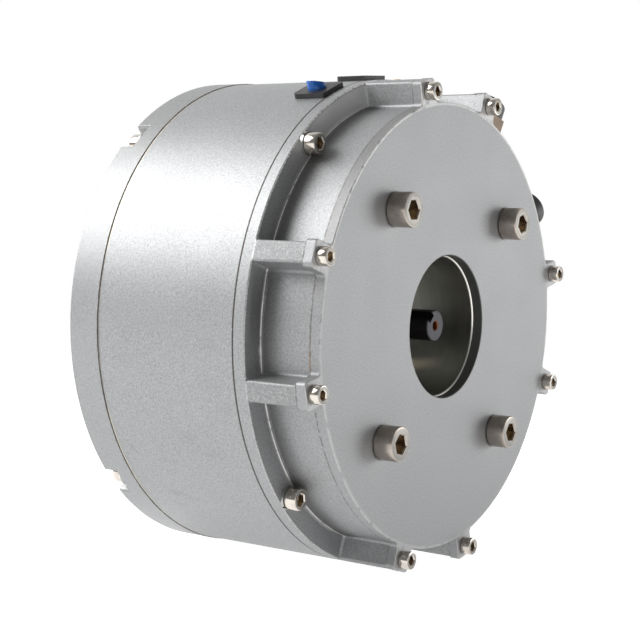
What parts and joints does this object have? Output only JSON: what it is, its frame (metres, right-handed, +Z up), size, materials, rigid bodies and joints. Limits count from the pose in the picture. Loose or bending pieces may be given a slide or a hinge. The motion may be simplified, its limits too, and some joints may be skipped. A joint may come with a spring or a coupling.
{
  "type": "axial flux motor",
  "caption": "Axial flux motor with a ribbed cast front, an eight-eared front plate, a housing tube, a notched rear cover and a keyed shaft.",
  "frame": {"origin": "on the shaft axis, in the outer face of the front plate", "axes": "+Y along the shaft axis from the front plate towards the rear cover, +Z up, +X to the right seen from the front"},
  "size_m": [0.2356, 0.1435, 0.2393],
  "materials": {
    "band_composite": "gloss",
    "bearing_steel": "gloss",
    "black_oxide_steel": "satin",
    "black_plastic": "satin",
    "blue_plastic": "gloss",
    "board_green": "satin",
    "brass": "satin",
    "cage_polyamide": "matte",
    "core_steel": "satin",
    "cream_gasket": "matte",
    "dark_gasket": "matte",
    "machined_aluminium": "satin",
    "magnet_nickel": "satin",
    "nickel_plate": "satin",
    "ochre_plastic": "gloss",
    "seal_rubber": "matte",
    "silver_paint": "satin",
    "winding_copper": "gloss",
    "zinc_steel": "satin"
  },
  "bodies": {
    "casing": {"bearing_circlip": "black_oxide_steel", "blanking_plug": "black_plastic", "chamber_seal_inner": "seal_rubber", "chamber_seal_outer": "seal_rubber", "cover_screws": "nickel_plate", "cover_washers": "zinc_steel", "flange_screws": "nickel_plate", "flange_spring_washers": "zinc_steel", "front_bearing_outer_ring": "bearing_steel", "front_gasket": "dark_gasket", "front_housing": "silver_paint", "front_plate": "silver_paint", "lead_plate_1": "black_plastic", "lead_plate_2": "black_plastic", "lead_plate_3": "black_plastic", "lead_straps": "winding_copper", "lead_studs": "brass", "main_housing": "silver_paint", "marker_plug_blue": "blue_plastic", "marker_plug_ochre": "ochre_plastic", "mounting_screws": "nickel_plate", "plate_screws": "nickel_plate", "port_cap_1": "black_plastic", "port_cap_2": "black_plastic", "port_fitting_1": "nickel_plate", "port_fitting_2": "nickel_plate", "port_seal_1": "seal_rubber", "port_seal_2": "seal_rubber", "preload_spring": "zinc_steel", "rear_bearing_outer_ring": "bearing_steel", "rear_cover": "silver_paint", "rear_gasket": "cream_gasket", "sensor_board": "board_green", "sensor_cover": "silver_paint", "sensor_cover_screws": "black_oxide_steel", "shaft_seal": "seal_rubber", "stator_coils_front": "winding_copper", "stator_coils_rear": "winding_copper", "stator_core_front": "core_steel", "stator_core_rear": "core_steel", "stud_bushes": "black_plastic"},
    "rotor": {"shaft": "black_oxide_steel", "rotor_key": "zinc_steel", "rotor_disc": "machined_aluminium", "rotor_nut": "black_oxide_steel", "rotor_magnets_front": "magnet_nickel", "rotor_magnets_rear": "magnet_nickel", "rotor_band": "band_composite", "sensor_magnet": "magnet_nickel", "front_bearing_inner_ring": "bearing_steel", "rear_bearing_inner_ring": "bearing_steel"},
    "front_ball_set": {"front_bearing_balls": "bearing_steel", "front_bearing_cage": "cage_polyamide"},
    "rear_ball_set": {"rear_bearing_balls": "bearing_steel", "rear_bearing_cage": "cage_polyamide"}
  },
  "joints": [
    {"name": "shaft_spin", "type": "hinge", "parent": "casing", "child": "rotor", "pos_m": [0, 0.06, 0], "axis": [0, 1, 0], "continuous": true},
    {"name": "front_ball_orbit", "type": "hinge", "parent": "casing", "child": "front_ball_set", "pos_m": [0, 0.053, 0], "axis": [0, 1, 0], "continuous": true},
    {"name": "rear_ball_orbit", "type": "hinge", "parent": "casing", "child": "rear_ball_set", "pos_m": [0, 0.115, 0], "axis": [0, 1, 0], "continuous": true}
  ],
  "couplings": [
    {"joint": "front_ball_orbit", "follows": "shaft_spin", "ratio": 0.3815},
    {"joint": "rear_ball_orbit", "follows": "shaft_spin", "ratio": 0.3815}
  ]
}
